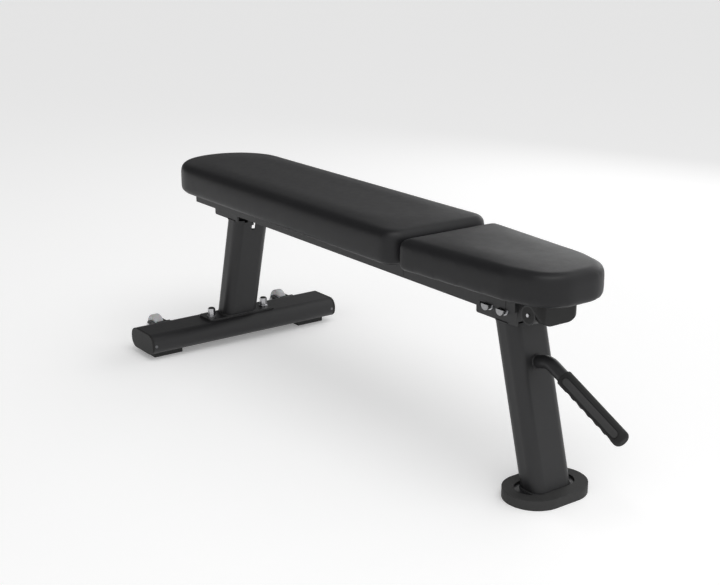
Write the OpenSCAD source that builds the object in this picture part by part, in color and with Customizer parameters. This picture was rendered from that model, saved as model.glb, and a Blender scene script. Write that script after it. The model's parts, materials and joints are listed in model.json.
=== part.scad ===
// Flat weight bench: two pads on a straight rail, a rear crossbar with two
// transport wheels, and a front leg with an oval base and a lifting handle.
// +X points from the back pad to the seat, +Y to a sitter's left, +Z up.
// Left is +Y and right is -Y. The origin is on the floor under the middle.

/* [Overall] */
// Length from the back pad's end to the handle's tip
bench_l = 1399; // [1390:1:1410]
// Height of the back pad's top above the floor
pad_top_z = 450; // [440:1:460]
// Height of both pads' vinyl underside
pad_base_z = 380; // [380:1:384]

/* [Pads] */
// Length of the back pad
back_l = 908; // [900:1:914]
// Width of the back pad
back_w = 260; // [240:1:280]
// Radius of the back pad's outer corners, seen from above
back_end_r = 126; // [110:1:128]
// Gap between the two pads
pad_gap = 10; // [6:1:14]
// Length of the seat pad
seat_l = 370; // [360:1:376]
// Width of the seat pad beside the back pad
seat_w = 247; // [226:1:254]
// How much lower the seat's top is than the back's
seat_drop = 7; // [0:1:12]
// Rounding of the pads' top edges
pad_edge_r = 17; // [10:1:24]

/* [Rail] */
// Outside width of the rail
rail_w = 104; // [102:1:110]
// Height of the rail
rail_h = 45; // [42:1:46]
// Steel thickness of the rail
rail_t = 3; // [2.5:0.5:3]
// How far the rail's rear end is from the back pad's end
rail_inset = 22.5; // [20:0.5:30]
// Length of the rear rail section
rear_rail_l = 830; // [800:1:840]
// Length of the front rail section
front_rail_l = 295; // [285:1:296]

/* [Legs] */
// Width of a leg tube, across the bench
leg_w = 92; // [88:1:92]
// Depth of a leg tube, along the bench
leg_d = 57; // [52:1:60]
// Corner radius of a leg tube
leg_r = 21; // [14:1:22]
// Wall thickness of the leg and crossbar tubes
tube_t = 3; // [2.5:0.5:4]
// Lean of the rear leg from upright, in degrees
rear_lean = 14.6; // [12:0.1:16]
// Lean of the front leg from upright, in degrees
front_lean = 15.26; // [13:0.1:16]

/* [Crossbar] */
// Length of the rear crossbar with its end caps
bar_l = 523; // [480:1:560]
// Depth of the crossbar, along the bench
bar_d = 110; // [106:1:112]
// Height of the crossbar tube
bar_h = 48; // [46:1:52]
// Thickness of the rubber feet under the crossbar
foot_h = 15; // [12:1:16]

/* [Wheels] */
// Diameter of a transport wheel
wheel_d = 50; // [44:1:52]
// Width of a transport wheel
wheel_w = 24; // [20:1:24]
// Distance of a wheel's middle from the bench's middle
wheel_y = 179; // [170:1:190]
// Height of the wheel axles
wheel_z = 43; // [40:1:46]
// Diameter of an axle bolt
axle_d = 8; // [6:1:8]

/* [Base] */
// Half width of the oval base at its ends
base_r = 59.5; // [56:0.5:62]
// Distance between the centres of the base's round ends
base_run = 54; // [48:1:60]
// Height of the oval base
base_h = 19; // [17:1:21]

/* [Handle] */
// Diameter of the handle tube
handle_d = 25; // [22:1:26]
// Diameter of the hand grip
grip_d = 31; // [30:1:34]
// Slope of the grip below level, in degrees
grip_slope = 26; // [24:1:28]

/* [Hidden] */
$fn = 64;
EPS = 0.01;
PAD_FN = 32;

// Shared levels
rear_x = -bench_l/2;
rail_top = pad_base_z;
rail_bottom = rail_top - rail_h;
web_z = rail_top - rail_t;
plate_t = 4;
plate_top = web_z - plate_t;
rail_x0 = rear_x + rail_inset;
seam_x = rail_x0 + rear_rail_l;
rail_x1 = seam_x + front_rail_l;
seam_gap = 0.5;
side_y = leg_w/2;

// Pads
back_front_r = 35;
back_x1 = rear_x + back_l;
seat_x0 = back_x1 + pad_gap;
seat_x1 = seat_x0 + seat_l;
seat_top_z = pad_top_z - seat_drop;
seat_rear_r = 18;
seat_nose_r = 70;
seat_nose_y = 20;
seat_side_r = 60;
seat_side_x = 108;
seat_side_y = 42;
board_t = 15;
board_inset = 12;
board_r = 25;

// Pad bolts and their nuts: rows along X, one pair to a row
bolt_y = 25;
bolt_r = 4;
bolt_af = 13;
bolt_head_h = 5;
back_bolts = [-560, -180, 110];
seat_bolts = [290, 430];
tee_r = 5.5;
tee_flange_r = 10;
tee_flange_t = 1.5;
tee_l = 10;

// Legs: where each tube's axis meets its foot plate
rear_leg_x = -584.5;
front_leg_x = 514.3;
flange_t = 5;
bar_x = -586;
bar_top = foot_h + bar_h;
rear_leg_z = bar_top + flange_t;
base_lip = 4;
base_plate_t = 9;
base_rim = 7;
base_plate_z = base_h - base_lip;
saddle_drop = 16;
saddle_z = rail_bottom - saddle_drop;

// Saddles
rear_saddle_x0 = -594;
rear_saddle_x1 = -490;
front_saddle_x0 = 363.5;
front_saddle_x1 = 472;
front_shelf_x1 = 506;
saddle_corner_r = 4;

// Bolts through the front saddle
cross_bolt_x = [399, 439];
cross_bolt_z = 343;
cross_bolt_r = 5;
cross_washer_r = 11;
cross_washer_t = 1.2;
cross_head_r = 9.5;
cross_head_h = 11;
cross_head_top = 344.5;
relief_z = cross_head_top + 0.6;
lug_t = 5;
lug_y = side_y - plate_t - lug_t;

// Front cross tube and cover
cross_tube_x = 500;
cross_tube_r = 18;
hanger_h = 7.5;
cross_tube_z = plate_top - hanger_h - cross_tube_r;
cover_x0 = 506;
cover_x1 = 533;
cover_w = 93;
cover_z0 = 331;
cover_r = 27;

// Crossbar details
bar_corner_r = 22;
cap_t = 6;
cap_plug_l = 20;
cap_screw_y = bar_l/2 - 10.5;
cap_screw_z = 38;
foot_x0 = -610;
foot_x1 = -562;
foot_y0 = 167;
foot_y1 = 242;
flange_w = 186;
flange_d = 60;
flange_r = 9;
flange_bolt_y = 74.5;
flange_bolt_x = -579;
flange_bolt_r = 6;
nut_af = 16;
nut_h = 18;
nut_bore_h = 13;
nut_plug_r = 7;
plug_t = 2;
washer_t = 2.5;

// Wheel brackets
wheel_x = rear_x + wheel_d/2;
ear_t = 4;
ear_gap = wheel_w + 4;
ear_r = 12;
axle_fit = 0.06;
hub_r = 13;
hub_l = ear_gap - 0.6;
bracket_x1 = -616;
bump_l = 20;
bump_h = -2;

// Handle
handle_z = 240;
handle_x = 457;
handle_rise = 15;
bend_r = 36;
grip_l = 162;
grip_turn = 30;
// The two straight runs would cross at the knee
knee_run = 56.6;
knee_x = handle_x + knee_run*cos(handle_rise);
knee_z = handle_z + knee_run*sin(handle_rise);
knee_cut = bend_r*tan((handle_rise + grip_slope)/2);
grip_nose = 9;
grip_nose_r = grip_d/2 - grip_nose;
grip_end = (bench_l/2 - knee_x - grip_nose_r*sin(grip_slope)
    - grip_nose*(1 - cos(grip_slope)))/cos(grip_slope);
grip_start = grip_end - grip_l;

// ---- shared shapes ----

// Rectangle with round corners, centred, made of exact arcs
module round_rect(w, h, r) {
    square([w - 2*r, h], center = true);
    square([w, h - 2*r], center = true);
    for (sx = [-1, 1], sy = [-1, 1])
        translate([sx*(w/2 - r), sy*(h/2 - r)])
            circle(r);
}

// Slot with round ends, long way along X
module slot(l, r) {
    square([l - 2*r, 2*r], center = true);
    for (s = [-1, 1])
        translate([s*(l/2 - r), 0])
            circle(r);
}

// Two equal circles joined by straight sides, long way along Y
module racetrack(r, run) {
    square([2*r, run], center = true);
    for (s = [-1, 1])
        translate([0, s*run/2])
            circle(r);
}

// Draws its children on both sides of the bench
module both_sides() {
    for (s = [0, 1])
        mirror([0, s, 0])
            children();
}

// Extrudes a profile drawn in X and Z along Y, from y0 to y1
module along_y(y0, y1) {
    translate([0, y1, 0])
        rotate([90, 0, 0])
            linear_extrude(y1 - y0)
                children();
}

// Cylinder whose axis lies along Y, from y0 to y1
module rod_y(x, z, r, y0, y1) {
    translate([x, y0, z])
        rotate([-90, 0, 0])
            cylinder(h = y1 - y0, r = r);
}

// Upright hexagon with the given width across its flats
module hex(af, h) {
    cylinder(h = h, r = af/2/cos(30), $fn = 6);
}

// ---- rail ----

// Inverted steel channel from x0 to x1, inset from the rail's outside
module channel(x0, x1, inset) {
    w = rail_w - 2*inset;
    translate([x0, -w/2, rail_bottom])
        difference() {
            cube([x1 - x0, w, rail_h - inset]);
            translate([-1, rail_t, -1])
                cube([x1 - x0 + 2, w - 2*rail_t, rail_h - inset - rail_t + 1]);
        }
}

// Clearance holes for the pad bolts in the rows at the given places
module bolt_holes(rows, z0, z1) {
    for (x = rows, s = [-1, 1])
        translate([x, s*bolt_y, z0])
            cylinder(h = z1 - z0, r = bolt_r + 0.3);
}

module rear_rail() {
    color([0.16, 0.16, 0.17])
        difference() {
            channel(rail_x0, seam_x, 0);
            bolt_holes(back_bolts, web_z - 1, rail_top + 1);
        }
}

module front_rail() {
    relief_x0 = 380;
    color([0.17, 0.17, 0.18])
        difference() {
            union() {
                channel(seam_x + seam_gap, rail_x1, 0);
                both_sides()
                    translate([rail_x1 - rail_t, side_y + 1.5, rail_bottom])
                        cube([rail_t, rail_w/2 - side_y - 2.5, rail_h - 1]);
            }
            both_sides()
                translate([relief_x0, side_y + 1, rail_bottom - 1])
                    cube([rail_x1 - relief_x0 + 1, rail_w, relief_z - rail_bottom + 1]);
            bolt_holes(seat_bolts, web_z - 1, rail_top + 1);
        }
}

// Short channel nested in both sections behind the seam
module rail_joiner() {
    joiner_half = 50;
    color([0.2, 0.2, 0.21])
        difference() {
            channel(seam_x - joiner_half, seam_x + joiner_half, rail_t);
            bolt_holes(back_bolts, plate_top - 1, web_z + 1);
        }
}

// Plastic plug in the open rear end of the rail
module rail_end_plug() {
    w = rail_w - 2*rail_t;
    h = rail_h - rail_t;
    plug_l = 22;
    skin = 3;
    color([0.1, 0.1, 0.1])
        translate([rail_x0 + 1, -w/2, rail_bottom])
            difference() {
                cube([plug_l, w, h]);
                translate([skin, skin, skin])
                    cube([plug_l, w - 2*skin, h - 2*skin]);
            }
}

// ---- saddles between the legs and the rail ----

// Side plate outline in X and Z with one rounded lower corner at its free end
module saddle_side(x0, x1, z0, round_at_x0) {
    cx = round_at_x0 ? x0 + saddle_corner_r : x1 - saddle_corner_r;
    translate([x0, z0 + saddle_corner_r])
        square([x1 - x0, plate_top - z0 - saddle_corner_r]);
    translate([round_at_x0 ? cx : x0, z0])
        square([x1 - x0 - saddle_corner_r, saddle_corner_r + EPS]);
    translate([cx, z0 + saddle_corner_r])
        circle(saddle_corner_r);
}

// Plate under the rail's web that the side plates hang from
module shelf(x0, x1) {
    translate([x0, -side_y, plate_top])
        cube([x1 - x0, 2*side_y, plate_t]);
}

module rear_saddle() {
    web_x = -548;
    web_y = 31;
    web_z0 = 290;
    color([0.16, 0.16, 0.17])
        difference() {
            union() {
                shelf(rear_saddle_x0, rear_saddle_x1);
                both_sides()
                    along_y(side_y - plate_t, side_y)
                        saddle_side(rear_saddle_x0, rear_saddle_x1, saddle_z, true);
                translate([web_x, -web_y, web_z0])
                    cube([plate_t, 2*web_y, plate_top - web_z0 + EPS]);
            }
            bolt_holes(back_bolts, plate_top - 1, web_z + 1);
        }
}

module front_saddle() {
    cross_web_x = 460;
    hanger_half = 6;
    cheek_x1 = front_saddle_x1;
    cheek_l = 21;
    color([0.16, 0.16, 0.17])
        difference() {
            union() {
                shelf(front_saddle_x0, front_shelf_x1);
                translate([cross_web_x, -side_y + 1, saddle_z + 4])
                    cube([plate_t, 2*side_y - 2, plate_top - saddle_z - 3]);
                translate([cross_tube_x - hanger_half, -side_y, plate_top - hanger_h])
                    cube([2*hanger_half, 2*side_y, hanger_h + EPS]);
                both_sides() {
                    along_y(side_y - plate_t, side_y)
                        saddle_side(front_saddle_x0, front_saddle_x1, saddle_z, true);
                    along_y(side_y - EPS, rail_w/2 - 0.5)
                        translate([cheek_x1 - cheek_l, relief_z])
                            square([cheek_l, plate_top - relief_z]);
                    along_y(side_y + 1.5, rail_w/2 - 0.5)
                        translate([rail_x1 + 0.3, relief_z])
                            square([cheek_x1 - rail_x1 - 0.3, plate_top - relief_z]);
                }
            }
            bolt_holes(seat_bolts, plate_top - 1, web_z + 1);
            for (x = cross_bolt_x)
                rod_y(x, cross_bolt_z, cross_bolt_r + 0.2, -side_y - 1, side_y + 1);
        }
}

// Lugs inside the front saddle that its cross bolts clamp
module front_lugs() {
    lug_x0 = 370;
    lug_x1 = 454;
    color([0.2, 0.2, 0.21])
        difference() {
            both_sides()
                translate([lug_x0, lug_y, saddle_z + 6])
                    cube([lug_x1 - lug_x0, lug_t, plate_top - saddle_z - 6]);
            for (x = cross_bolt_x)
                rod_y(x, cross_bolt_z, cross_bolt_r + 0.2, -side_y, side_y);
            bolt_holes(seat_bolts, saddle_z, web_z);
        }
}

// Low round heads on both ends of the two bolts through the front saddle
module saddle_bolts() {
    seat = side_y + cross_washer_t;
    color([0.72, 0.72, 0.74])
        for (x = cross_bolt_x) {
            rod_y(x, cross_bolt_z, cross_bolt_r, -seat - EPS, seat + EPS);
            both_sides()
                difference() {
                    rod_y(x, cross_bolt_z, cross_head_r, seat, seat + cross_head_h);
                    translate([x - 2*cross_head_r, seat - 1, cross_head_top])
                        cube([4*cross_head_r, cross_head_h + 2, cross_head_r]);
                }
        }
}
module saddle_washers() {
    color([0.8, 0.8, 0.82])
        for (x = cross_bolt_x)
            both_sides()
                difference() {
                    rod_y(x, cross_bolt_z, cross_washer_r, side_y,
                        side_y + cross_washer_t);
                    rod_y(x, cross_bolt_z, cross_bolt_r + 0.2, side_y - 1,
                        side_y + 2);
                }
}

// ---- legs ----

// Leaning tube of the legs' section, through (x, z) on its axis
module leg_tube(x, z, lean) {
    reach = 500;
    translate([x, 0, z])
        rotate([0, lean, 0])
            translate([0, 0, -reach/2])
                linear_extrude(reach*1.5)
                    difference() {
                        round_rect(leg_d, leg_w, leg_r);
                        round_rect(leg_d - 2*tube_t, leg_w - 2*tube_t, leg_r - tube_t);
                    }
}

// Keeps what lies between two heights
module between(z0, z1) {
    big = 2000;
    intersection() {
        children();
        translate([-big/2, -big/2, z0])
            cube([big, big, z1 - z0]);
    }
}

module rear_leg() {
    window_y = 5;
    window_z = 293;
    slit_y0 = 17;
    slit_y1 = 27;
    slit_z = 314;
    rear_notch_y = 41.5;
    rear_notch_z = 279;
    mid_x = rear_leg_x + (saddle_z - rear_leg_z)*tan(rear_lean);
    color([0.16, 0.16, 0.17])
        difference() {
            between(rear_leg_z, saddle_z)
                leg_tube(rear_leg_x + flange_t*tan(rear_lean), rear_leg_z, rear_lean);
            translate([mid_x + 4, -window_y, window_z])
                cube([leg_d, 2*window_y, leg_d]);
            both_sides()
                translate([mid_x + 4, slit_y0, slit_z])
                    cube([leg_d, slit_y1 - slit_y0, leg_d]);
            translate([mid_x - leg_d - 9, -rear_notch_y, rear_notch_z])
                cube([leg_d, 2*rear_notch_y, leg_d]);
        }
}

module front_leg() {
    color([0.16, 0.16, 0.17])
        difference() {
            between(base_plate_z, saddle_z)
                leg_tube(front_leg_x + base_lip*tan(front_lean), base_plate_z,
                    -front_lean);
            translate([handle_x, 0, handle_z])
                rotate([0, 90 - handle_rise, 0])
                    cylinder(h = leg_d, r = handle_d/2);
        }
}

// ---- rear crossbar ----

module leg_flange() {
    color([0.17, 0.17, 0.18])
        difference() {
            translate([rear_leg_x + 2, 0, bar_top])
                linear_extrude(flange_t)
                    round_rect(flange_d, flange_w, flange_r);
            both_sides()
                translate([flange_bolt_x, flange_bolt_y, bar_top - 1])
                    cylinder(h = flange_t + 2, r = flange_bolt_r + 0.3);
        }
}

module flange_bolts() {
    color([0.7, 0.7, 0.72])
        both_sides()
            translate([flange_bolt_x, flange_bolt_y, bar_top - 14])
                union() {
                    cylinder(h = 14 + flange_t + washer_t + nut_bore_h - 1, r = flange_bolt_r);
                    translate([0, 0, 3])
                        cylinder(h = 14 - tube_t - 3, r = nut_af/2 + 2);
                }
}

module flange_washers() {
    color([0.85, 0.85, 0.87])
        both_sides()
            translate([flange_bolt_x, flange_bolt_y, rear_leg_z])
                difference() {
                    cylinder(h = washer_t, r = 11);
                    translate([0, 0, -1])
                        cylinder(h = washer_t + 2, r = flange_bolt_r + 0.2);
                }
}

// Tall hexagon nuts with a blind recess in the top
module flange_nuts() {
    color([0.72, 0.72, 0.74])
        both_sides()
            translate([flange_bolt_x, flange_bolt_y, rear_leg_z + washer_t])
                difference() {
                    hex(nut_af, nut_h);
                    translate([0, 0, -1])
                        cylinder(h = nut_bore_h + 1, r = flange_bolt_r);
                    translate([0, 0, nut_h - plug_t])
                        cylinder(h = plug_t + 1, r = nut_plug_r);
                }
}

// Black plugs in the recesses of the nuts
module flange_caps() {
    color([0.05, 0.05, 0.05])
        both_sides()
            translate([flange_bolt_x, flange_bolt_y, rear_leg_z + washer_t + nut_h - plug_t])
                cylinder(h = plug_t + 1.5, r = nut_plug_r);
}

// Outline of the crossbar in X and Z, shrunk by inset all round
module bar_profile(inset) {
    translate([bar_x, foot_h + bar_h/2])
        round_rect(bar_d - 2*inset, bar_h - 2*inset, bar_corner_r - inset);
}

module crossbar() {
    half = bar_l/2 - cap_t;
    color([0.15, 0.15, 0.16])
        difference() {
            along_y(-half, half)
                difference() {
                    bar_profile(0);
                    bar_profile(tube_t);
                }
            both_sides() {
                translate([flange_bolt_x, flange_bolt_y, bar_top - tube_t - 1])
                    cylinder(h = tube_t + 2, r = flange_bolt_r + 0.3);
                translate([bar_x + bar_d/2 - 10, cap_screw_y, cap_screw_z])
                    rotate([0, 90, 0])
                        cylinder(h = 20, r = 2);
            }
        }
}

// Plastic cap on one end of the crossbar, with a hollow plug inside the tube
module crossbar_cap() {
    wall = 4;
    half = bar_l/2;
    difference() {
        union() {
            along_y(half - cap_t, half)
                bar_profile(0);
            along_y(half - cap_t - cap_plug_l, half - cap_t + EPS)
                difference() {
                    bar_profile(tube_t);
                    bar_profile(tube_t + wall);
                }
        }
        translate([bar_x + bar_d/2 - 20, cap_screw_y, cap_screw_z])
            rotate([0, 90, 0])
                cylinder(h = 20, r = 2);
    }
}
module crossbar_cap_left() {
    color([0.08, 0.08, 0.08])
        crossbar_cap();
}
module crossbar_cap_right() {
    color([0.08, 0.08, 0.08])
        mirror([0, 1, 0])
            crossbar_cap();
}

// Small screws that hold the end caps in the tube
module cap_screws() {
    color([0.4, 0.4, 0.42])
        both_sides()
            translate([bar_x + bar_d/2 - 7, cap_screw_y, cap_screw_z])
                rotate([0, 90, 0])
                    union() {
                        cylinder(h = 7 + EPS, r = 2);
                        translate([0, 0, 7])
                            cylinder(h = 1.2, r1 = 3.6, r2 = 2.6);
                    }
}

module crossbar_foot() {
    translate([foot_x0, foot_y0, 0])
        cube([foot_x1 - foot_x0, foot_y1 - foot_y0, foot_h]);
}
module crossbar_foot_left() {
    color([0.07, 0.07, 0.07])
        crossbar_foot();
}
module crossbar_foot_right() {
    color([0.07, 0.07, 0.07])
        mirror([0, 1, 0])
            crossbar_foot();
}

// ---- transport wheels ----

// Fork with two ears, coped to the crossbar's rounded rear side
module wheel_bracket() {
    fork_top = wheel_z + 12;
    web_x = wheel_x + wheel_d/2 + 3;
    color([0.14, 0.14, 0.15])
        difference() {
            union() {
                for (y = [wheel_y - ear_gap/2 - ear_t, wheel_y + ear_gap/2])
                    along_y(y, y + ear_t) {
                        translate([wheel_x, wheel_z])
                            circle(ear_r);
                        translate([wheel_x, wheel_z - ear_r])
                            square([bracket_x1 - wheel_x, 2*ear_r]);
                    }
                along_y(wheel_y - ear_gap/2 - EPS, wheel_y + ear_gap/2 + EPS)
                    translate([web_x, wheel_z - ear_r])
                        square([bracket_x1 - web_x, 2*ear_r]);
                along_y(wheel_y - ear_gap/2 - ear_t, wheel_y + ear_gap/2 + ear_t)
                    translate([bracket_x1 - bump_l, fork_top - EPS])
                        square([bump_l, bar_top + bump_h - fork_top]);
            }
            along_y(0, bar_l/2)
                bar_profile(0);
            rod_y(wheel_x, wheel_z, axle_d/2, 0, bar_l/2);
        }
}
module wheel_bracket_left() {
    wheel_bracket();
}
module wheel_bracket_right() {
    mirror([0, 1, 0])
        wheel_bracket();
}

// Soft tread with a crowned face, pressed on the hub
module wheel_tyre() {
    crown = 6;
    color([0.68, 0.69, 0.7])
        translate([wheel_x, wheel_y, wheel_z])
            rotate([-90, 0, 0])
                rotate_extrude()
                    difference() {
                        translate([wheel_d/4, 0])
                            round_rect(wheel_d/2, wheel_w, crown);
                        translate([-wheel_d/4, -wheel_w])
                            square([wheel_d/4 + hub_r, 2*wheel_w]);
                    }
}
module wheel_tyre_left() {
    wheel_tyre();
}
module wheel_tyre_right() {
    mirror([0, 1, 0])
        wheel_tyre();
}

// Hub that turns on the axle bolt, with a shallow dish on each face
module wheel_hub() {
    boss_r = 7;
    dish = 3;
    color([0.6, 0.6, 0.61])
        difference() {
            union() {
                rod_y(wheel_x, wheel_z, hub_r, wheel_y - wheel_w/2, wheel_y + wheel_w/2);
                rod_y(wheel_x, wheel_z, boss_r, wheel_y - hub_l/2, wheel_y + hub_l/2);
            }
            for (s = [-1, 1])
                translate([0, s*wheel_w/2, 0])
                    difference() {
                        rod_y(wheel_x, wheel_z, hub_r - 2, wheel_y - dish, wheel_y + dish);
                        rod_y(wheel_x, wheel_z, boss_r, wheel_y - 9, wheel_y + 9);
                    }
            rod_y(wheel_x, wheel_z, axle_d/2 + axle_fit, wheel_y - 40, wheel_y + 40);
        }
}
module wheel_hub_left() {
    wheel_hub();
}
module wheel_hub_right() {
    mirror([0, 1, 0])
        wheel_hub();
}

// Axle bolt with its head on the outer ear
module axle_bolt() {
    ear_face = wheel_y + ear_gap/2 + ear_t;
    inner_end = wheel_y - ear_gap/2 - ear_t - 8;
    head_r = 6.5;
    color([0.75, 0.75, 0.77]) {
        rod_y(wheel_x, wheel_z, axle_d/2, inner_end, ear_face + EPS);
        rod_y(wheel_x, wheel_z, head_r, ear_face, ear_face + 4.5);
    }
}
module axle_bolt_left() {
    axle_bolt();
}
module axle_bolt_right() {
    mirror([0, 1, 0])
        axle_bolt();
}

module axle_nut() {
    inner_face = wheel_y - ear_gap/2 - ear_t;
    nut_h = 6.5;
    color([0.75, 0.75, 0.77])
        difference() {
            translate([wheel_x, inner_face - nut_h, wheel_z])
                rotate([-90, 0, 0])
                    hex(bolt_af, nut_h);
            rod_y(wheel_x, wheel_z, axle_d/2, 0, bar_l/2);
        }
}
module axle_nut_left() {
    axle_nut();
}
module axle_nut_right() {
    mirror([0, 1, 0])
        axle_nut();
}

// ---- front base ----

// Steel plate that the front leg is welded to
module base_plate() {
    color([0.18, 0.18, 0.19])
        translate([front_leg_x, 0, base_plate_z - base_plate_t])
            linear_extrude(base_plate_t)
                racetrack(base_r - base_rim, base_run);
}

// Rubber shoe round, under and over the plate, open at the top round the leg
module base_shoe() {
    opening_r = 33;
    opening_run = 62;
    opening_back = 2;
    color([0.12, 0.12, 0.12])
        translate([front_leg_x, 0, 0])
            difference() {
                linear_extrude(base_h)
                    racetrack(base_r, base_run);
                translate([0, 0, base_plate_z - base_plate_t])
                    linear_extrude(base_plate_t)
                        racetrack(base_r - base_rim, base_run);
                translate([-opening_back, 0, base_plate_z - 1])
                    linear_extrude(base_h)
                        racetrack(opening_r, opening_run);
            }
}

// ---- front cross tube and cover under the seat's nose ----

module cross_tube() {
    color([0.17, 0.17, 0.18])
        difference() {
            rod_y(cross_tube_x, cross_tube_z, cross_tube_r, -side_y, side_y);
            rod_y(cross_tube_x, cross_tube_z, cross_tube_r - tube_t,
                -side_y - 1, side_y + 1);
        }
}

module cross_tube_plugs() {
    plug_l = 12;
    color([0.12, 0.12, 0.12])
        both_sides()
            difference() {
                rod_y(cross_tube_x, cross_tube_z, cross_tube_r - tube_t,
                    side_y - plug_l, side_y);
                rod_y(cross_tube_x, cross_tube_z, 2, side_y - plug_l - 1, side_y + 1);
            }
}

module cross_tube_screws() {
    color([0.85, 0.85, 0.87])
        both_sides() {
            rod_y(cross_tube_x, cross_tube_z, 2, side_y - 11, side_y + EPS);
            rod_y(cross_tube_x, cross_tube_z, 3.2, side_y, side_y + 1.8);
        }
}

// Moulded cover in front of the cross tube, with round lower and front corners
module front_cover() {
    h = plate_top + plate_t - cover_z0;
    front_r = 12;
    color([0.15, 0.15, 0.15])
        difference() {
            intersection() {
                translate([cover_x0, 0, cover_z0])
                    rotate([90, 0, 90])
                        linear_extrude(cover_x1 - cover_x0)
                            union() {
                                translate([-cover_w/2, cover_r])
                                    square([cover_w, h - cover_r]);
                                translate([-cover_w/2 + cover_r, 0])
                                    square([cover_w - 2*cover_r, cover_r + EPS]);
                                for (s = [-1, 1])
                                    translate([s*(cover_w/2 - cover_r), cover_r])
                                        circle(cover_r);
                            }
                translate([cover_x1 - 3*front_r, 0, cover_z0 - 1])
                    linear_extrude(h + 2)
                        translate([1.5*front_r, 0])
                            round_rect(3*front_r, cover_w, front_r);
            }
            rod_y(cross_tube_x, cross_tube_z, cross_tube_r, -cover_w, cover_w);
        }
}

// ---- handle ----

// Turns its children so that +X runs down the grip from the knee
module on_grip() {
    translate([knee_x, 0, knee_z])
        rotate([0, grip_slope, 0])
            rotate([-grip_turn, 0, 0])
                children();
}

// Round bar along the local X axis
module rod_x(r, x0, x1) {
    translate([x0, 0, 0])
        rotate([0, 90, 0])
            cylinder(h = x1 - x0, r = r);
}

// Bar that leaves the leg at a rise, bends and runs down inside the grip.
// The bend is a hair thicker than the runs, which reach a little way into it.
module handle_tube() {
    r = handle_d/2;
    inside_leg = 12;
    hair = 0.05;
    reach = 0.6;
    color([0.16, 0.16, 0.17]) {
        translate([handle_x, 0, handle_z])
            rotate([0, -handle_rise, 0])
                rod_x(r, inside_leg, knee_run - knee_cut + reach);
        translate([knee_x, 0, knee_z])
            rotate([0, -handle_rise, 0])
                translate([-knee_cut, 0, -bend_r])
                    rotate([90, 0, 0])
                        rotate([0, 0, 90 - handle_rise - grip_slope])
                            rotate_extrude(angle = handle_rise + grip_slope)
                                translate([bend_r, 0])
                                    circle(r + hair);
        on_grip()
            rod_x(r, knee_cut - reach, grip_end - 12);
    }
}

// Moulded grip with finger hollows underneath, turned a little on its tube
module handle_grip() {
    fingers = 6;
    hollow_r = 17;
    hollow_depth = 3;
    pitch = (grip_l - 34)/fingers;
    color([0.09, 0.09, 0.09])
        on_grip()
            difference() {
                union() {
                    rod_x(grip_d/2, grip_start, grip_end - grip_nose);
                    translate([grip_end - grip_nose, 0, 0])
                        rotate([0, 90, 0])
                            rotate_extrude()
                                grip_nose_profile();
                }
                rod_x(handle_d/2, grip_start - 1, grip_end - 12);
                for (i = [0:fingers - 1])
                    translate([grip_start + 20 + pitch*(i + 0.5), 0,
                        -grip_d/2 - hollow_r + hollow_depth])
                        rotate([90, 0, 0])
                            cylinder(h = 2*grip_d, r = hollow_r, center = true);
                grip_sides(0);
            }
}

// Half section of the grip's rounded end
module grip_nose_profile() {
    square([grip_nose_r, grip_nose]);
    intersection() {
        translate([grip_nose_r, 0])
            circle(grip_nose);
        square(grip_d);
    }
}

// Long round-ended panels let into both sides of the grip, inside a groove
module grip_panels() {
    groove = 1;
    color([0.2, 0.2, 0.2])
        on_grip()
            grip_sides(groove);
}
module grip_sides(gap) {
    panel_l = grip_l - 16;
    panel_h = 15;
    depth = 1.6;
    intersection() {
        difference() {
            rod_x(grip_d/2 + 0.3, grip_start, grip_end);
            rod_x(grip_d/2 - depth, grip_start - 1, grip_end + 1);
        }
        both_sides()
            translate([grip_start + grip_l/2 - 1, grip_d, 0])
                rotate([90, 0, 0])
                    linear_extrude(grip_d - 4)
                        slot(panel_l - 2*gap, panel_h/2 - gap);
    }
}

// ---- pads ----

// One corner of a pad: a disc whose top edge is rounded over
module pad_corner(x, y, r, z0, z1) {
    edge = min(pad_edge_r, r - 1);
    for (s = [-1, 1])
        translate([x, s*y, z0])
            rotate_extrude($fn = PAD_FN)
                intersection() {
                    square([r, z1 - z0]);
                    union() {
                        square([r, z1 - z0 - edge]);
                        square([r - edge, z1 - z0]);
                        translate([r - edge, z1 - z0 - edge])
                            circle(edge, $fn = PAD_FN);
                    }
                }
}

// Plan outline of the back pad as corner discs, pulled in by inset
module back_shape(inset, z0, z1) {
    hull() {
        pad_corner(rear_x + back_end_r, back_w/2 - back_end_r, back_end_r - inset,
            z0, z1);
        pad_corner(back_x1 - back_front_r, back_w/2 - back_front_r - 2,
            back_front_r - inset, z0, z1);
    }
}

module seat_shape(inset, z0, z1) {
    hull() {
        pad_corner(seat_x0 + seat_rear_r, seat_w/2 - seat_rear_r,
            seat_rear_r - min(inset, seat_rear_r - 2), z0, z1);
        pad_corner(seat_x1 - seat_side_x, seat_side_y, seat_side_r - inset, z0, z1);
        pad_corner(seat_x1 - seat_nose_r, seat_nose_y, seat_nose_r - inset, z0, z1);
    }
}

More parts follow.
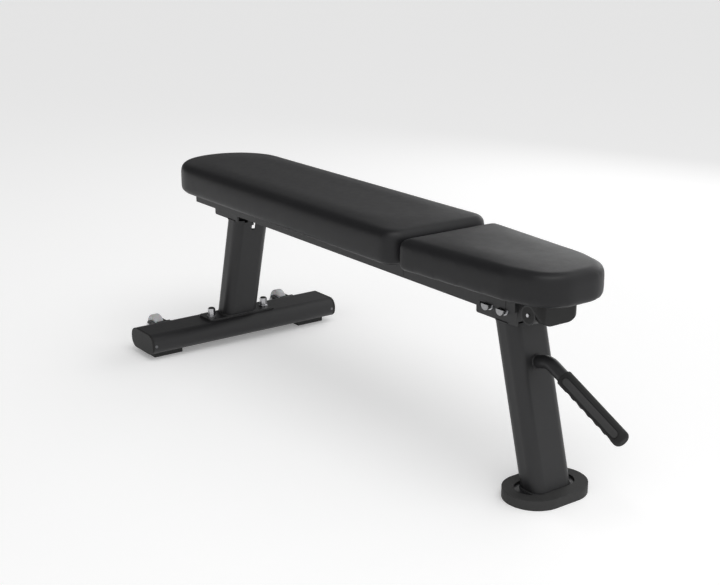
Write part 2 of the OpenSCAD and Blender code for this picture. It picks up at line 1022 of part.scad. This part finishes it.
// Plywood outline: a plain shape well inside the pad's own
module back_plan() {
    translate([rear_x + back_end_r, 0])
        racetrack(back_end_r - board_inset, back_w - 2*back_end_r);
    half = back_w/2 - board_inset - 2;
    run = back_l - back_end_r - board_inset;
    translate([rear_x + back_end_r, 0]) {
        translate([0, -half])
            square([run - board_r, 2*half]);
        translate([0, -half + board_r])
            square([run, 2*(half - board_r)]);
        for (s = [-1, 1])
            translate([run - board_r, s*(half - board_r)])
                circle(board_r);
    }
}
module seat_plan() {
    half = seat_w/2 - board_inset - 2;
    nose_half = seat_side_y + seat_side_r - board_inset - 4;
    polygon([
        [seat_x0 + board_inset, -half],
        [seat_x1 - seat_side_x, -nose_half],
        [seat_x1 - seat_side_x, nose_half],
        [seat_x0 + board_inset, half]
    ]);
    for (s = [-1, 1])
        translate([seat_x1 - seat_side_x, s*seat_side_y])
            circle(seat_side_r - board_inset - 4);
    translate([seat_x1 - seat_nose_r, 0])
        racetrack(seat_nose_r - board_inset, 2*seat_nose_y - 8);
}

// Board with a stepped hole for each tee nut
module board(rows) {
    difference() {
        translate([0, 0, rail_top])
            linear_extrude(board_t)
                children();
        for (x = rows, s = [-1, 1])
            translate([x, s*bolt_y, rail_top - 1]) {
                cylinder(h = board_t + 2, r = tee_r);
                translate([0, 0, board_t + 1 - tee_flange_t])
                    cylinder(h = 3, r = tee_flange_r);
            }
    }
}
module back_board() {
    color([0.62, 0.48, 0.32])
        board(back_bolts)
            back_plan();
}
module seat_board() {
    color([0.62, 0.48, 0.32])
        board(seat_bolts)
            seat_plan();
}

// Vinyl-covered foam with a pocket for its board
module back_pad() {
    color([0.2, 0.2, 0.21])
        difference() {
            back_shape(0, pad_base_z, pad_top_z);
            translate([0, 0, pad_base_z - 1])
                linear_extrude(board_t + 1)
                    back_plan();
        }
}
module seat_pad() {
    color([0.24, 0.24, 0.25])
        difference() {
            seat_shape(0, pad_base_z, seat_top_z);
            translate([0, 0, pad_base_z - 1])
                linear_extrude(board_t + 1)
                    seat_plan();
        }
}

// Height of a pad bolt's seat: lower where a saddle's shelf lies under the rail
function under_shelf(x) = (x > rear_saddle_x0 && x < rear_saddle_x1)
    || (x > front_saddle_x0 && x < front_shelf_x1)
    || abs(x - seam_x) < 50;
function bolt_seat(x) = under_shelf(x) ? plate_top : web_z;

module pad_bolts() {
    color([0.6, 0.6, 0.62])
        for (x = concat(back_bolts, seat_bolts), s = [-1, 1])
            translate([x, s*bolt_y, 0]) {
                translate([0, 0, bolt_seat(x)])
                    cylinder(h = rail_top + board_t - 2 - bolt_seat(x), r = bolt_r);
                translate([0, 0, bolt_seat(x) - bolt_head_h])
                    hex(bolt_af, bolt_head_h + EPS);
            }
}

module tee_nuts() {
    color([0.7, 0.7, 0.72])
        for (x = concat(back_bolts, seat_bolts), s = [-1, 1])
            translate([x, s*bolt_y, rail_top + board_t - tee_l])
                difference() {
                    union() {
                        cylinder(h = tee_l, r = tee_r);
                        translate([0, 0, tee_l - tee_flange_t])
                            cylinder(h = tee_flange_t, r = tee_flange_r);
                    }
                    translate([0, 0, -1])
                        cylinder(h = tee_l + 2, r = bolt_r);
                }
}

rear_rail();
front_rail();
rail_joiner();
rail_end_plug();
rear_saddle();
front_saddle();
front_lugs();
saddle_bolts();
saddle_washers();
rear_leg();
front_leg();
leg_flange();
flange_bolts();
flange_washers();
flange_nuts();
flange_caps();
crossbar();
crossbar_cap_left();
crossbar_cap_right();
cap_screws();
crossbar_foot_left();
crossbar_foot_right();
wheel_bracket_left();
wheel_bracket_right();
wheel_tyre_left();
wheel_tyre_right();
wheel_hub_left();
wheel_hub_right();
axle_bolt_left();
axle_bolt_right();
axle_nut_left();
axle_nut_right();
base_plate();
base_shoe();
cross_tube();
cross_tube_plugs();
cross_tube_screws();
front_cover();
handle_tube();
handle_grip();
grip_panels();
back_board();
seat_board();
back_pad();
seat_pad();
pad_bolts();
tee_nuts();
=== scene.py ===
"""Looks of a flat weight bench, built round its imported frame. Metres, +Z up, +X towards the seat."""

import json
import math

import bmesh
import bpy
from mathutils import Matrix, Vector


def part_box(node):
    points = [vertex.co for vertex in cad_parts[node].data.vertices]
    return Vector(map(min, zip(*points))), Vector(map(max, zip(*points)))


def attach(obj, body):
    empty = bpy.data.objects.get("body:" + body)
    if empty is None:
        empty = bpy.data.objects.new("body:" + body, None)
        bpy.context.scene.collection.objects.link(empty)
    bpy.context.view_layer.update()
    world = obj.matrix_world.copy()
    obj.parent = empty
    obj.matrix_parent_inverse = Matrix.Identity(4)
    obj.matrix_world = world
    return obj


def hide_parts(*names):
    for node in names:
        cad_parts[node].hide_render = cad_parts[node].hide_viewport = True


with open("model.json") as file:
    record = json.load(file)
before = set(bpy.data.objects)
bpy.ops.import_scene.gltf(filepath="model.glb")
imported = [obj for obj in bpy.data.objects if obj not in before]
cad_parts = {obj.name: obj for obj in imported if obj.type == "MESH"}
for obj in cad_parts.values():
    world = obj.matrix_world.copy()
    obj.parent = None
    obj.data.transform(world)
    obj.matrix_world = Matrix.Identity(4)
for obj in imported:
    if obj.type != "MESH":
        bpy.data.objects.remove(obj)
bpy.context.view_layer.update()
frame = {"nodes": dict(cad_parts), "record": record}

MM = 0.001
NODES = frame["nodes"]

# ---------------------------------------------------------------- camera and studio

CAMERA_AT = (2.0307, -1.5223, 1.0313)
CAMERA_AZIMUTH = 53.97
CAMERA_ELEVATION = 16.95
CAMERA_LENS = 63.38

WORLD_LIGHT = 0.95
WORLD_DARK = 0.12
FLOOR_GLOW = 0.21
DARK_WALL_TOWARDS = Vector((-0.80, -0.20, 0.56)).normalized()


def make_camera():
    data = bpy.data.cameras.new("camera")
    data.lens = CAMERA_LENS
    data.sensor_width = 36
    camera = bpy.data.objects.new("camera", data)
    camera.location = CAMERA_AT
    camera.rotation_euler = (
        math.radians(90 - CAMERA_ELEVATION),
        0,
        math.radians(CAMERA_AZIMUTH),
    )
    bpy.context.scene.collection.objects.link(camera)
    bpy.context.scene.camera = camera


def area_light(name, at, target, size, power):
    data = bpy.data.lights.new(name, "AREA")
    data.shape = "RECTANGLE"
    data.size, data.size_y = size
    data.energy = power
    lamp = bpy.data.objects.new(name, data)
    lamp.location = at
    lamp.rotation_euler = (Vector(target) - Vector(at)).to_track_quat("-Z", "Y").to_euler()
    bpy.context.scene.collection.objects.link(lamp)


def make_world():
    """A white studio that darkens over the far side of the room, above the horizon."""
    world = bpy.data.worlds.new("studio")
    world.use_nodes = True
    tree = world.node_tree
    place = tree.nodes.new("ShaderNodeTexCoord").outputs["Generated"]
    away = tree.nodes.new("ShaderNodeVectorMath")
    away.operation = "DOT_PRODUCT"
    away.inputs[1].default_value = DARK_WALL_TOWARDS
    tree.links.new(place, away.inputs[0])
    ramp = tree.nodes.new("ShaderNodeMapRange")
    ramp.interpolation_type = "SMOOTHSTEP"
    ramp.inputs["From Min"].default_value = 0.25
    ramp.inputs["From Max"].default_value = 0.85
    ramp.inputs["To Min"].default_value = WORLD_LIGHT
    ramp.inputs["To Max"].default_value = WORLD_DARK
    tree.links.new(away.outputs["Value"], ramp.inputs["Value"])
    background = tree.nodes["Background"]
    background.inputs["Color"].default_value = (1, 1, 1, 1)
    seen = tree.nodes.new("ShaderNodeLightPath").outputs["Is Camera Ray"]
    backdrop = tree.nodes.new("ShaderNodeMix")
    backdrop.inputs[3].default_value = 1.0
    tree.links.new(seen, backdrop.inputs["Factor"])
    tree.links.new(ramp.outputs["Result"], backdrop.inputs[2])
    tree.links.new(backdrop.outputs[0], background.inputs["Strength"])
    bpy.context.scene.world = world
    bpy.context.scene.view_settings.view_transform = "Standard"


def make_floor():
    mesh = bpy.data.meshes.new("floor")
    half = 40
    mesh.from_pydata(
        [(-half, -half, 0), (half, -half, 0), (half, half, 0), (-half, half, 0)],
        [],
        [(0, 1, 2, 3)],
    )
    floor = bpy.data.objects.new("floor", mesh)
    bpy.context.scene.collection.objects.link(floor)
    white = plain_material("floor_white", (0.93, 0.93, 0.93), 0.95, 0.0)
    shader = white.node_tree.nodes["Principled BSDF"]
    shader.inputs["Emission Color"].default_value = (1, 1, 1, 1)
    shader.inputs["Emission Strength"].default_value = FLOOR_GLOW
    mesh.materials.append(white)


# ---------------------------------------------------------------- materials


def plain_material(name, colour, roughness, specular):
    material = bpy.data.materials.new(name)
    material.use_nodes = True
    shader = material.node_tree.nodes["Principled BSDF"]
    shader.inputs["Base Color"].default_value = (*colour, 1)
    shader.inputs["Roughness"].default_value = roughness
    shader.inputs["Specular IOR Level"].default_value = specular
    return material


class Recipe:
    """A node material under construction: small helpers that add and link nodes."""

    def __init__(self, name, **sockets):
        self.material = bpy.data.materials.new(name)
        self.material.use_nodes = True
        self.tree = self.material.node_tree
        self.shader = self.tree.nodes["Principled BSDF"]
        for socket, value in sockets.items():
            self.set(socket.replace("_", " "), value)
        self.place = self.tree.nodes.new("ShaderNodeTexCoord").outputs["Object"]

    def set(self, socket, value):
        self.shader.inputs[socket].default_value = value

    def link(self, source, socket):
        self.tree.links.new(source, self.shader.inputs[socket])

    def node(self, kind, inputs=None, **settings):
        node = self.tree.nodes.new(kind)
        for key, value in settings.items():
            setattr(node, key, value)
        for key, value in (inputs or {}).items():
            if isinstance(value, bpy.types.NodeSocket):
                self.tree.links.new(value, node.inputs[key])
            else:
                node.inputs[key].default_value = value
        return node

    def noise(self, scale, detail=3, rough=0.55, place=None):
        return self.node(
            "ShaderNodeTexNoise",
            {"Vector": place or self.place, "Scale": scale, "Detail": detail, "Roughness": rough},
        ).outputs["Fac"]

    def cells(self, scale, feature="F1", place=None):
        return self.node(
            "ShaderNodeTexVoronoi",
            {"Vector": place or self.place, "Scale": scale},
            feature=feature,
        ).outputs["Distance"]

    def spread(self, value, low, high, start=0.0, end=1.0):
        return self.node(
            "ShaderNodeMapRange",
            {"Value": value, "From Min": start, "From Max": end, "To Min": low, "To Max": high},
        ).outputs["Result"]

    def mix(self, factor, first, second):
        node = self.node("ShaderNodeMix", data_type="RGBA")
        self.tree.links.new(factor, node.inputs["Factor"])
        node.inputs[6].default_value = (*first, 1)
        node.inputs[7].default_value = (*second, 1)
        return node.outputs[2]

    def bump(self, *layers):
        """Layers are (height socket, strength, distance), laid over each other in turn."""
        normal = None
        for height, strength, distance in layers:
            inputs = {"Height": height, "Strength": strength, "Distance": distance}
            if normal:
                inputs["Normal"] = normal
            normal = self.node("ShaderNodeBump", inputs).outputs["Normal"]
        self.link(normal, "Normal")


def vinyl():
    m = Recipe("vinyl", Specular_IOR_Level=0.3)
    grain = m.cells(1250, "SMOOTH_F1")
    pores = m.noise(2600, 2)
    clouds = m.noise(9, 2)
    m.link(m.mix(clouds, (0.008, 0.008, 0.009), (0.012, 0.012, 0.013)), "Base Color")
    m.link(m.spread(m.noise(60, 4), 0.40, 0.50), "Roughness")
    m.bump((grain, 0.35, 0.00025), (pores, 0.2, 0.0001))
    return m.material


def powder_coat():
    m = Recipe("powder_coat", Specular_IOR_Level=0.42)
    peel = m.noise(900, 2)
    grit = m.noise(4200, 1)
    m.link(m.mix(m.noise(14, 3), (0.011, 0.011, 0.012), (0.017, 0.017, 0.018)), "Base Color")
    m.link(m.spread(m.noise(120, 4), 0.36, 0.48), "Roughness")
    m.bump((peel, 0.25, 0.0002), (grit, 0.15, 0.00006))
    return m.material


def black_plastic():
    m = Recipe("black_plastic", Specular_IOR_Level=0.28)
    m.link(m.mix(m.noise(30, 3), (0.008, 0.008, 0.008), (0.013, 0.013, 0.013)), "Base Color")
    m.link(m.spread(m.noise(400, 3), 0.45, 0.6), "Roughness")
    m.bump((m.noise(2400, 2), 0.3, 0.0001))
    return m.material


def rubber(name, low, high, scale):
    m = Recipe(name, Specular_IOR_Level=0.3)
    m.link(m.mix(m.noise(45, 4), low, high), "Base Color")
    m.link(m.spread(m.noise(260, 4), 0.62, 0.8), "Roughness")
    m.bump((m.cells(scale), 0.4, 0.0002))
    return m.material


def zinc(name, low, high):
    m = Recipe(name, Metallic=1.0)
    m.link(m.mix(m.noise(350, 4), low, high), "Base Color")
    m.link(m.spread(m.noise(700, 4), 0.18, 0.36), "Roughness")
    m.bump((m.noise(1500, 3), 0.12, 0.0001))
    return m.material


def dark_screw():
    m = Recipe("dark_screw", Metallic=1.0)
    m.link(m.mix(m.noise(300, 3), (0.12, 0.12, 0.125), (0.2, 0.2, 0.21)), "Base Color")
    m.link(m.spread(m.noise(500, 3), 0.3, 0.45), "Roughness")
    return m.material


def wheel_plastic(name, low, high):
    m = Recipe(name, Specular_IOR_Level=0.5, Subsurface_Weight=0.25, Subsurface_Scale=0.004)
    m.link(m.mix(m.noise(70, 4), low, high), "Base Color")
    m.link(m.spread(m.noise(300, 4), 0.28, 0.42), "Roughness")
    m.bump((m.noise(900, 3), 0.1, 0.0002))
    return m.material


def plywood():
    m = Recipe("plywood", Specular_IOR_Level=0.3)
    sheets = m.node(
        "ShaderNodeMapping", {"Vector": m.place, "Scale": (6, 40, 800)}
    ).outputs["Vector"]
    grain = m.noise(1.0, 5, 0.6, sheets)
    m.link(m.mix(grain, (0.30, 0.19, 0.10), (0.52, 0.37, 0.21)), "Base Color")
    m.link(m.spread(grain, 0.6, 0.75), "Roughness")
    m.bump((grain, 0.3, 0.0003))
    return m.material


MATERIALS = {
    "vinyl": vinyl(),
    "powder_coat": powder_coat(),
    "black_plastic": black_plastic(),
    "zinc": zinc("zinc", (0.42, 0.42, 0.44), (0.66, 0.66, 0.67)),
    "dull_zinc": zinc("dull_zinc", (0.22, 0.22, 0.225), (0.42, 0.42, 0.43)),
    "dark_screw": dark_screw(),
    "rubber": rubber("rubber", (0.027, 0.027, 0.027), (0.038, 0.038, 0.038), 700),
    "grip_rubber": rubber("grip_rubber", (0.008, 0.008, 0.008), (0.013, 0.013, 0.013), 1100),
    "grip_panel": rubber("grip_panel", (0.034, 0.034, 0.034), (0.046, 0.046, 0.046), 500),
    "wheel_tread": wheel_plastic("wheel_tread", (0.42, 0.43, 0.44), (0.6, 0.61, 0.62)),
    "wheel_hub": wheel_plastic("wheel_hub", (0.3, 0.3, 0.31), (0.4, 0.4, 0.41)),
    "plywood": plywood(),
}


def paint_frame():
    for part in frame["record"]["subparts"]:
        mesh = NODES[part["node"]].data
        mesh.materials.clear()
        mesh.materials.append(MATERIALS[part["material_slot"]])


# ---------------------------------------------------------------- pads

VOXEL = 5 * MM
PAD_EDGE = 17 * MM
# Low enough that both tops crown by about CROWN without reaching the cap
PRESSURE = 0.24
CROWN = 3 * MM
CROWN_CAP = 4 * MM
SIDE_ROOM = 1 * MM
PIN_BAND = 3 * MM
CLOTH_STEPS = 20


def outline(circles, inset, count=360):
    """Evenly spaced points round the hull of circles (x, y, radius), pulled in by inset."""
    hull = []
    for k in range(1440):
        angle = 2 * math.pi * k / 1440
        n = Vector((math.cos(angle), math.sin(angle)))
        x, y, r = max(circles, key=lambda c: c[0] * n.x + c[1] * n.y + c[2])
        hull.append(Vector((x, y)) + n * (r - inset))
    hull.append(hull[0])
    lengths = [0.0]
    for a, b in zip(hull, hull[1:]):
        lengths.append(lengths[-1] + (b - a).length)
    points, at = [], 0
    for k in range(count):
        want = lengths[-1] * k / count
        while lengths[at + 1] < want:
            at += 1
        span = lengths[at + 1] - lengths[at]
        t = (want - lengths[at]) / span if span else 0
        points.append(hull[at].lerp(hull[at + 1], t))
    return points


def mirrored(circles):
    return circles + [(x, -y, r) for x, y, r in circles]


def pad_profile(base_z, top_z, edge):
    """(inset, height) pairs from the flat underside, up the side and over the top edge."""
    small = 5 * MM
    profile = [(30 * MM, base_z), (small, base_z)]
    for k in range(1, 5):
        a = math.pi / 2 * k / 4
        profile.append((small * (1 - math.sin(a)), base_z + small * (1 - math.cos(a))))
    profile.append((0, (base_z + top_z - edge) / 2))
    for k in range(9):
        a = math.pi / 2 * k / 8
        profile.append((edge * (1 - math.cos(a)), top_z - edge * (1 - math.sin(a))))
    return profile


def closed_form(name, circles, profile):
    count = 360
    rings = [
        [(p.x, p.y, z) for p in outline(circles, inset, count)] for inset, z in profile
    ]
    verts = [v for ring in rings for v in ring]
    faces = []
    for i in range(len(rings) - 1):
        for k in range(count):
            n = (k + 1) % count
            faces.append((i * count + k, i * count + n, (i + 1) * count + n, (i + 1) * count + k))
    faces.append(tuple(reversed(range(count))))
    faces.append(tuple((len(rings) - 1) * count + k for k in range(count)))
    mesh = bpy.data.meshes.new(name)
    mesh.from_pydata(verts, [], faces)
    obj = bpy.data.objects.new(name, mesh)
    bpy.context.scene.collection.objects.link(obj)
    return obj


def apply_modifiers(obj):
    graph = bpy.context.evaluated_depsgraph_get()
    mesh = bpy.data.meshes.new_from_object(obj.evaluated_get(graph))
    obj.modifiers.clear()
    obj.data = mesh


def remesh(obj):
    modifier = obj.modifiers.new("Remesh", "REMESH")
    modifier.mode = "VOXEL"
    modifier.voxel_size = VOXEL
    modifier = obj.modifiers.new("Smooth", "SMOOTH")
    modifier.factor = 0.5
    modifier.iterations = 6
    apply_modifiers(obj)


def inflate(obj, base_z, pressure, cap):
    """Cloth under pressure, pinned along the underside where it is stapled to the board."""
    before = [v.co.copy() for v in obj.data.vertices]
    pins = obj.vertex_groups.new(name="pins")
    pins.add([v.index for v in obj.data.vertices if v.co.z < base_z + PIN_BAND], 1.0, "REPLACE")
    cloth = obj.modifiers.new("Cloth", "CLOTH")
    settings = cloth.settings
    settings.quality = 5
    settings.mass = 0.3
    settings.tension_stiffness = 25
    settings.compression_stiffness = 25
    settings.shear_stiffness = 10
    settings.bending_stiffness = 6
    settings.use_pressure = True
    settings.uniform_pressure_force = pressure
    settings.effector_weights.gravity = 0
    settings.vertex_group_mass = "pins"
    cloth.point_cache.frame_start = 1
    cloth.point_cache.frame_end = CLOTH_STEPS
    scene = bpy.context.scene
    for step in range(1, CLOTH_STEPS + 1):
        scene.frame_set(step)
    apply_modifiers(obj)
    scene.frame_set(1)
    for v, rest in zip(obj.data.vertices, before):
        move = v.co - rest
        if move.length > cap:
            v.co = rest + move.normalized() * cap
    obj.vertex_groups.clear()


def finish_pad(obj):
    modifier = obj.modifiers.new("Smooth", "SMOOTH")
    modifier.factor = 0.5
    modifier.iterations = 4
    modifier = obj.modifiers.new("Subdivision", "SUBSURF")
    modifier.levels = modifier.render_levels = 1
    apply_modifiers(obj)
    for polygon in obj.data.polygons:
        polygon.use_smooth = True


def make_pad(name, node, circles, edge):
    low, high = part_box(node)
    inner = [(x, y, r - SIDE_ROOM) for x, y, r in mirrored(circles)]
    profile = pad_profile(low.z, high.z - CROWN, edge)
    pad = closed_form(name, inner, profile)
    remesh(pad)
    inflate(pad, low.z, PRESSURE, CROWN_CAP)
    finish_pad(pad)
    pad.data.materials.append(MATERIALS["vinyl"])
    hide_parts(node)
    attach(pad, "frame")
    return pad


def make_pads():
    low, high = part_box("back_pad")
    end_r, front_r = 126 * MM, 35 * MM
    back = [
        (low.x + end_r, high.y - end_r, end_r),
        (high.x - front_r, high.y - front_r - 2 * MM, front_r),
    ]
    make_pad("back_cushion", "back_pad", back, PAD_EDGE)
    make_fold("back_fold", mirrored(back), low.z)
    make_staples("back_staples", mirrored(back), low.z)
    low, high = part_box("seat_pad")
    rear_r, nose_r, side_r = 18 * MM, 70 * MM, 60 * MM
    seat = [
        (low.x + rear_r, high.y - rear_r, rear_r),
        (high.x - 108 * MM, 42 * MM, side_r),
        (high.x - nose_r, 20 * MM, nose_r),
    ]
    make_pad("seat_cushion", "seat_pad", seat, PAD_EDGE)
    make_fold("seat_fold", mirrored(seat), low.z)
    make_staples("seat_staples", mirrored(seat), low.z)


# ---------------------------------------------------------------- edges of the steel and mouldings

EDGE_RADIUS = {
    0.5 * MM: (
        "rear_saddle",
        "front_saddle",
        "rear_rail",
        "front_rail",
        "wheel_bracket_left",
        "wheel_bracket_right",
    ),
    0.8 * MM: (
        "leg_flange",
        "front_lugs",
        "flange_nuts",
        "axle_nut_left",
        "axle_nut_right",
        "saddle_bolts",
    ),
    1.2 * MM: (
        "front_cover",
        "rail_end_plug",
        "crossbar_foot_left",
        "crossbar_foot_right",
        "base_plate",
    ),
    2.2 * MM: ("base_shoe", "crossbar_cap_left", "crossbar_cap_right"),
}


def soften_edges():
    for radius, names in EDGE_RADIUS.items():
        for name in names:
            node = NODES[name]
            weld = node.modifiers.new("Weld", "WELD")
            weld.merge_threshold = 0.01 * MM
            bevel = node.modifiers.new("Bevel", "BEVEL")
            bevel.width = radius
            bevel.segments = 2
            bevel.limit_method = "ANGLE"
            bevel.angle_limit = math.radians(40)
            bevel.use_clamp_overlap = True
            bevel.harden_normals = True


# ---------------------------------------------------------------- welds

LEG_W, LEG_D, LEG_R = 92 * MM, 57 * MM, 21 * MM
REAR_LEAN, FRONT_LEAN = 14.6, 15.26
WELD_R = 2.4 * MM
WELD_STEP = 0.75 * MM
SADDLE_WELD_R = 1.5 * MM
SADDLE_WELD_HALF = 16 * MM
HANDLE_WELD_R = 2.0 * MM
HANDLE_R = 12.5 * MM
HANDLE_RISE = 15
HANDLE_AT = Vector((457 * MM, 0, 240 * MM))
# The middle of the front leg's foot, where it meets the base plate
FRONT_FOOT = Vector((515.39 * MM, 0, 15 * MM))
RIPPLE = 0.35
SHORT_RIPPLE = 0.3


def tube_along(name, points, radius, closed, ripple=0.0, pitch=3 * MM, sides=10):
    """A round bead along points; ripple makes the overlapping scales of a weld."""
    count = len(points)
    travelled, verts, faces = 0.0, [], []
    for i, here in enumerate(points):
        before = points[i - 1] if closed or i else here
        after = points[(i + 1) % count] if closed or i < count - 1 else here
        along = (after - before).normalized()
        side = along.orthogonal() if abs(along.z) > 0.9 else along.cross(Vector((0, 0, 1)))
        side.normalize()
        other = along.cross(side).normalized()
        travelled += (here - before).length if i else 0
        r = radius * (1 + ripple * (abs(math.sin(math.pi * travelled / pitch)) - 0.5))
        if not closed and i in (0, count - 1):
            r *= 0.45
        for k in range(sides):
            a = 2 * math.pi * k / sides
            verts.append(here + side * (r * math.cos(a)) + other * (r * math.sin(a)))
    for i in range(count if closed else count - 1):
        n = (i + 1) % count
        for k in range(sides):
            j = (k + 1) % sides
            faces.append((i * sides + k, i * sides + j, n * sides + j, n * sides + k))
    if not closed:
        faces.append(tuple(range(sides)))
        faces.append(tuple((count - 1) * sides + k for k in reversed(range(sides))))
    return mesh_piece(name, verts, faces)


def mesh_piece(name, verts, faces, smooth=True):
    mesh = bpy.data.meshes.new(name)
    mesh.from_pydata([tuple(v) for v in verts], [], faces)
    bm = bmesh.new()
    bm.from_mesh(mesh)
    bmesh.ops.recalc_face_normals(bm, faces=bm.faces)
    bm.to_mesh(mesh)
    bm.free()
    for polygon in mesh.polygons:
        polygon.use_smooth = smooth
    obj = bpy.data.objects.new(name, mesh)
    bpy.context.scene.collection.objects.link(obj)
    return obj


def finish_piece(obj, slot):
    obj.data.materials.append(MATERIALS[slot])
    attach(obj, "frame")
    return obj


def dense(points, step, closed):
    out = []
    ends = points[1:] + ([points[0]] if closed else [])
    for a, b in zip(points, ends):
        n = max(1, round((b - a).length / step))
        out += [a.lerp(b, k / n) for k in range(n)]
    return out if closed else out + [points[-1]]


def leg_ring(x, z, lean, grow=0.0):
    """The outline of a leg tube where it meets the level z."""
    half_w, half_d, corner = LEG_W / 2 + grow, LEG_D / 2 + grow, LEG_R + grow
    stretch = 1 / math.cos(math.radians(lean))
    ring = []
    for cx, cy, start in ((1, 1, 0), (-1, 1, 90), (-1, -1, 180), (1, -1, 270)):
        for k in range(9):
            a = math.radians(start + 90 * k / 8)
            px = cx * (half_d - corner) + corner * math.cos(a)
            py = cy * (half_w - corner) + corner * math.sin(a)
            ring.append(Vector((x + px * stretch, py, z)))
    return ring


def make_welds():
    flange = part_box("leg_flange")[1]
    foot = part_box("rear_leg")[0]
    rear_half = LEG_D / 2 / math.cos(math.radians(REAR_LEAN))
    ring = leg_ring(foot.x + rear_half, flange.z, REAR_LEAN)
    weld = tube_along("weld_rear_foot", dense(ring, WELD_STEP, True), WELD_R, True, RIPPLE)
    finish_piece(weld, "powder_coat")
    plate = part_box("base_plate")[1]
    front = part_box("front_leg")[1]
    front_half = LEG_D / 2 / math.cos(math.radians(FRONT_LEAN))
    ring = leg_ring(front.x - front_half, plate.z, FRONT_LEAN)
    weld = tube_along("weld_front_foot", dense(ring, WELD_STEP, True), WELD_R, True, RIPPLE)
    finish_piece(weld, "powder_coat")
    # where the side plates of the saddles stand on the legs
    for name, node, slope in (
        ("weld_rear_saddle", "rear_leg", 1),
        ("weld_front_saddle", "front_leg", -1),
    ):
        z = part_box(node)[1].z
        x_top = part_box(node)[1].x if slope > 0 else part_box(node)[0].x
        mid = x_top - slope * LEG_D / 2 / math.cos(math.radians(15))
        for side, y in (("left", LEG_W / 2), ("right", -LEG_W / 2)):
            run = [Vector((mid + end * SADDLE_WELD_HALF, y, z)) for end in (-1, 1)]
            beads = dense(run, WELD_STEP, False)
            weld = tube_along(f"{name}_{side}", beads, SADDLE_WELD_R, False, SHORT_RIPPLE)
            finish_piece(weld, "powder_coat")
    # round the handle tube where it enters the front leg
    rise = math.radians(HANDLE_RISE)
    along = Vector((math.cos(rise), 0, math.sin(rise)))
    lean = math.radians(FRONT_LEAN)
    face = Vector((math.cos(lean), 0, math.sin(lean)))
    front_face = FRONT_FOOT + face * (LEG_D / 2)
    ring = []
    for k in range(72):
        a = 2 * math.pi * k / 72
        up = Vector((-along.z, 0, along.x))
        start = HANDLE_AT + up * (HANDLE_R * math.cos(a)) + Vector((0, HANDLE_R * math.sin(a), 0))
        reach = (front_face - start).dot(face) / along.dot(face)
        ring.append(start + along * reach)
    weld = tube_along("weld_handle", dense(ring, WELD_STEP, True), HANDLE_WELD_R, True, RIPPLE)
    finish_piece(weld, "powder_coat")


# ---------------------------------------------------------------- undersides of the pads


def make_fold(name, circles, base_z):
    """The vinyl's edge, folded under the board and pleated a little at the corners."""
    count = 480
    wide, thick = 34 * MM, 1.0 * MM
    rings = []
    for inset, z in (
        (7 * MM, base_z + 1.5 * MM),
        (9 * MM, base_z - 0.3 * MM),
        (12 * MM, base_z - thick),
        (wide - 2 * MM, base_z - thick),
        (wide, base_z - 0.1 * MM),
        (wide, base_z + 0.6 * MM),
    ):
        ring = []
        for k, p in enumerate(outline(circles, inset, count)):
            pleat = 0.35 * MM * math.sin(k * 1.9) * math.sin(k * 0.37)
            ring.append((p.x, p.y, z - (pleat if inset > 10 * MM and z < base_z else 0)))
        rings.append(ring)
    verts = [v for ring in rings for v in ring]
    faces = []
    for i in range(len(rings)):
        j = (i + 1) % len(rings)
        for k in range(count):
            n = (k + 1) % count
            faces.append((i * count + k, i * count + n, j * count + n, j * count + k))
    finish_piece(mesh_piece(name, verts, faces), "vinyl")


def make_staples(name, circles, base_z):
    """Wire staples across the folded edge, every 24 mm or so."""
    verts, faces = [], []
    spots = outline(circles, 28 * MM, 96)
    leg, wire = 5.5 * MM, 0.55 * MM
    for k, p in enumerate(spots):
        if abs(p.y) < 54 * MM and k % 2:
            continue
        if abs(p.y) < 53 * MM:
            continue
        along = (spots[(k + 1) % len(spots)] - spots[k - 1]).normalized()
        across = Vector((-along.y, along.x))
        z0, z1 = base_z - 1.7 * MM, base_z - 0.6 * MM
        at = len(verts)
        for z in (z0, z1):
            for sx, sy in ((-1, -1), (1, -1), (1, 1), (-1, 1)):
                q = p + along * (sx * leg) + across * (sy * wire)
                verts.append((q.x, q.y, z))
        faces += [
            (at, at + 3, at + 2, at + 1),
            (at + 4, at + 5, at + 6, at + 7),
            (at, at + 1, at + 5, at + 4),
            (at + 1, at + 2, at + 6, at + 5),
            (at + 2, at + 3, at + 7, at + 6),
            (at + 3, at, at + 4, at + 7),
        ]
    finish_piece(mesh_piece(name, verts, faces, smooth=False), "zinc")


# ---------------------------------------------------------------- the scene

make_camera()
make_world()
make_floor()
area_light("key", (1.1, -0.3, 2.8), (0.2, 0, 0.4), (2.2, 1.6), 22)
area_light("back_strip", (-0.9, 2.6, 1.2), (0, 0, 0.4), (2.4, 0.7), 10)
paint_frame()
soften_edges()
make_welds()
make_pads()
